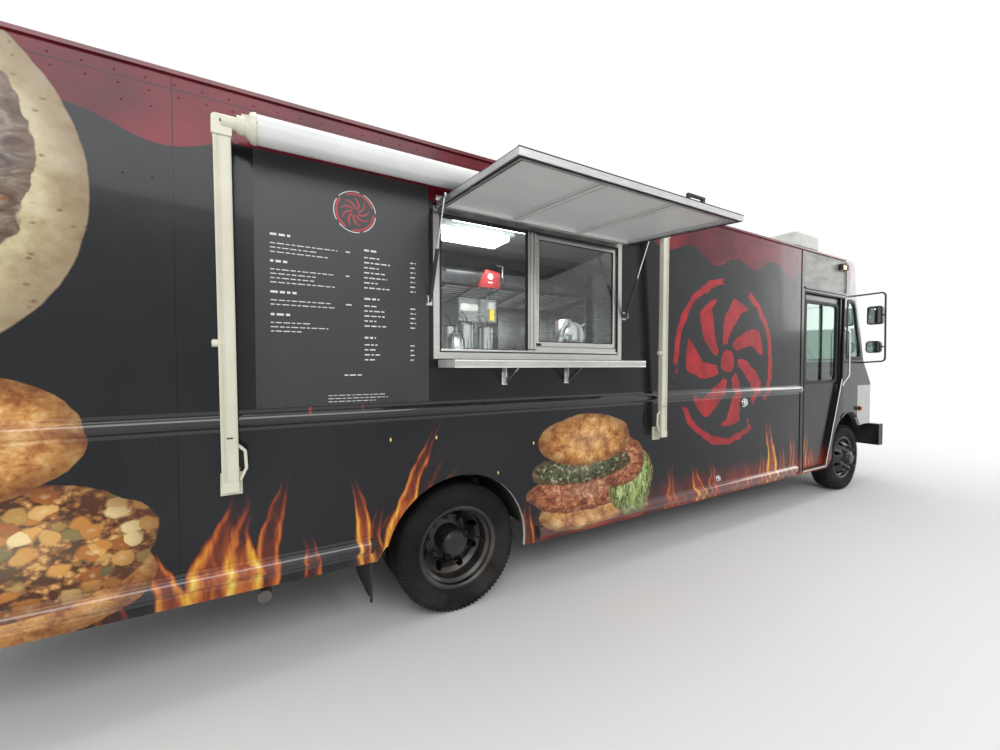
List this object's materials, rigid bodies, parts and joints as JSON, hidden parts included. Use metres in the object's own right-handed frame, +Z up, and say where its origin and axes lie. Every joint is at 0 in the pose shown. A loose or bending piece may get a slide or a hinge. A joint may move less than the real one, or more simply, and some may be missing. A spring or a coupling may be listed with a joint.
{
  "type": "food truck",
  "caption": "Walk-in step van fitted out as a food truck: kerbside serving window under a lifted hatch, shelf, stowed awning, sliding cab doors and twin rear wheels.",
  "frame": {"origin": "on the ground under the middle of the whole vehicle, its lifted hatch and mirrors counted", "axes": "+X forward, +Y to the vehicle's left (the serving side faces -Y), +Z up"},
  "size_m": [8.91, 3.5086, 3.1549],
  "materials": {
    "body_black": "gloss",
    "roof_white": "satin",
    "chassis_black": "matte",
    "wheel_black": "satin",
    "tyre": "matte",
    "rubber": "matte",
    "iron": "matte",
    "aluminium": "satin",
    "stainless": "brushed",
    "floor_grey": "matte",
    "cream": "satin",
    "unit_grey": "satin",
    "glass": "clear",
    "lamp": "gloss",
    "trim_black": "matte",
    "seat": "matte"
  },
  "bodies": {
    "truck": {"chassis_frame": "chassis_black", "front_axle": "chassis_black", "rear_axle": "chassis_black", "engine": "iron", "fuel_tank": "chassis_black", "exhaust": "iron", "mud_flaps": "rubber", "floor": "floor_grey", "cab_floor": "floor_grey", "wheelhouses": "floor_grey", "side_wall_right": "body_black", "side_wall_left": "body_black", "rear_wall": "body_black", "roof": "roof_white", "cab_side_right": "body_black", "cab_side_left": "body_black", "cab_front": "body_black", "cab_glass": "glass", "front_bumper": "chassis_black", "rear_step": "chassis_black", "rub_rails": "body_black", "window_frame": "aluminium", "window_panes": "glass", "serving_shelf": "stainless", "awning": "cream", "roof_box": "unit_grey", "roof_fan": "aluminium", "mirrors": "trim_black", "lamps": "lamp", "grab_bars": "stainless", "side_fittings": "aluminium", "dashboard": "trim_black", "driver_seat": "seat", "door_tracks": "aluminium", "counter": "stainless", "cook_line": "stainless", "range_hood": "stainless", "fridge": "stainless"},
    "cab_door_right": {"cab_door_right": "body_black", "door_glass_right": "glass"},
    "cab_door_left": {"cab_door_left": "body_black", "door_glass_left": "glass"},
    "rear_door_right": {"rear_door_right": "body_black"},
    "rear_door_left": {"rear_door_left": "body_black"},
    "hatch": {"hatch": "aluminium"},
    "strut_tube_rear": {"strut_tube_rear": "trim_black"},
    "strut_rod_rear": {"strut_rod_rear": "stainless"},
    "strut_tube_front": {"strut_tube_front": "trim_black"},
    "strut_rod_front": {"strut_rod_front": "stainless"},
    "steering_right": {"knuckle_right": "chassis_black"},
    "steering_left": {"knuckle_left": "chassis_black"},
    "tie_rod": {"tie_rod": "chassis_black"},
    "front_wheel_right": {"front_rim_right": "wheel_black", "front_tyre_right": "tyre"},
    "front_wheel_left": {"front_rim_left": "wheel_black", "front_tyre_left": "tyre"},
    "rear_wheels_right": {"rear_rims_right": "wheel_black", "rear_tyres_right": "tyre"},
    "rear_wheels_left": {"rear_rims_left": "wheel_black", "rear_tyres_left": "tyre"}
  },
  "joints": [
    {"name": "steer_right", "type": "hinge", "parent": "truck", "child": "steering_right", "pos_m": [3.588, -0.506, 0.425], "axis": [0, 0, 1], "range_deg": [-35, 35]},
    {"name": "steer_left", "type": "hinge", "parent": "truck", "child": "steering_left", "pos_m": [3.588, 1.254, 0.425], "axis": [0, 0, 1], "range_deg": [-35, 35]},
    {"name": "tie_rod_swing", "type": "hinge", "parent": "steering_right", "child": "tie_rod", "pos_m": [3.408, -0.506, 0.318], "axis": [0, 0, 1], "range_deg": [-35, 35]},
    {"name": "front_wheel_right_spin", "type": "hinge", "parent": "steering_right", "child": "front_wheel_right", "pos_m": [3.588, -0.661, 0.4055], "axis": [0, 1, 0], "continuous": true},
    {"name": "front_wheel_left_spin", "type": "hinge", "parent": "steering_left", "child": "front_wheel_left", "pos_m": [3.588, 1.409, 0.4055], "axis": [0, 1, 0], "continuous": true},
    {"name": "rear_wheels_right_spin", "type": "hinge", "parent": "truck", "child": "rear_wheels_right", "pos_m": [-1.695, -0.492, 0.4055], "axis": [0, 1, 0], "continuous": true},
    {"name": "rear_wheels_left_spin", "type": "hinge", "parent": "truck", "child": "rear_wheels_left", "pos_m": [-1.695, 1.24, 0.4055], "axis": [0, 1, 0], "continuous": true},
    {"name": "cab_door_right_slide", "type": "slide", "parent": "truck", "child": "cab_door_right", "axis": [-1, 0, 0], "range_m": [0, 0.74]},
    {"name": "cab_door_left_slide", "type": "slide", "parent": "truck", "child": "cab_door_left", "axis": [-1, 0, 0], "range_m": [0, 0.74]},
    {"name": "rear_door_right_swing", "type": "hinge", "parent": "truck", "child": "rear_door_right", "pos_m": [-4.272, -0.344, 1.68], "axis": [0, 0, 1], "range_deg": [0, 110]},
    {"name": "rear_door_left_swing", "type": "hinge", "parent": "truck", "child": "rear_door_left", "pos_m": [-4.272, 1.092, 1.68], "axis": [0, 0, -1], "range_deg": [0, 110]},
    {"name": "hatch_swing", "type": "hinge", "parent": "truck", "child": "hatch", "pos_m": [-1.13, -0.85, 2.505], "axis": [1, 0, 0], "range_deg": [0, 85]},
    {"name": "strut_rear_swing", "type": "hinge", "parent": "truck", "child": "strut_tube_rear", "pos_m": [-1.922, -0.828, 1.945], "axis": [1, 0, 0], "range_deg": [-24, 1]},
    {"name": "strut_rear_slide", "type": "slide", "parent": "strut_tube_rear", "child": "strut_rod_rear", "axis": [0, -0.3857, 0.9226], "range_m": [-0.215, 0.004]},
    {"name": "strut_front_swing", "type": "hinge", "parent": "truck", "child": "strut_tube_front", "pos_m": [-0.338, -0.828, 1.945], "axis": [1, 0, 0], "range_deg": [-24, 1]},
    {"name": "strut_front_slide", "type": "slide", "parent": "strut_tube_front", "child": "strut_rod_front", "axis": [0, -0.3857, 0.9226], "range_m": [-0.215, 0.004]}
  ],
  "couplings": [
    {"joint": "steer_left", "follows": "steer_right", "ratio": 1},
    {"joint": "tie_rod_swing", "follows": "steer_right", "ratio": -1},
    {"joint": "strut_rear_swing", "follows": "hatch_swing", "ratio": -0.25757},
    {"joint": "strut_rear_slide", "follows": "hatch_swing", "m_per_rad": -0.14134},
    {"joint": "strut_front_swing", "follows": "hatch_swing", "ratio": -0.25757},
    {"joint": "strut_front_slide", "follows": "hatch_swing", "m_per_rad": -0.14134}
  ]
}
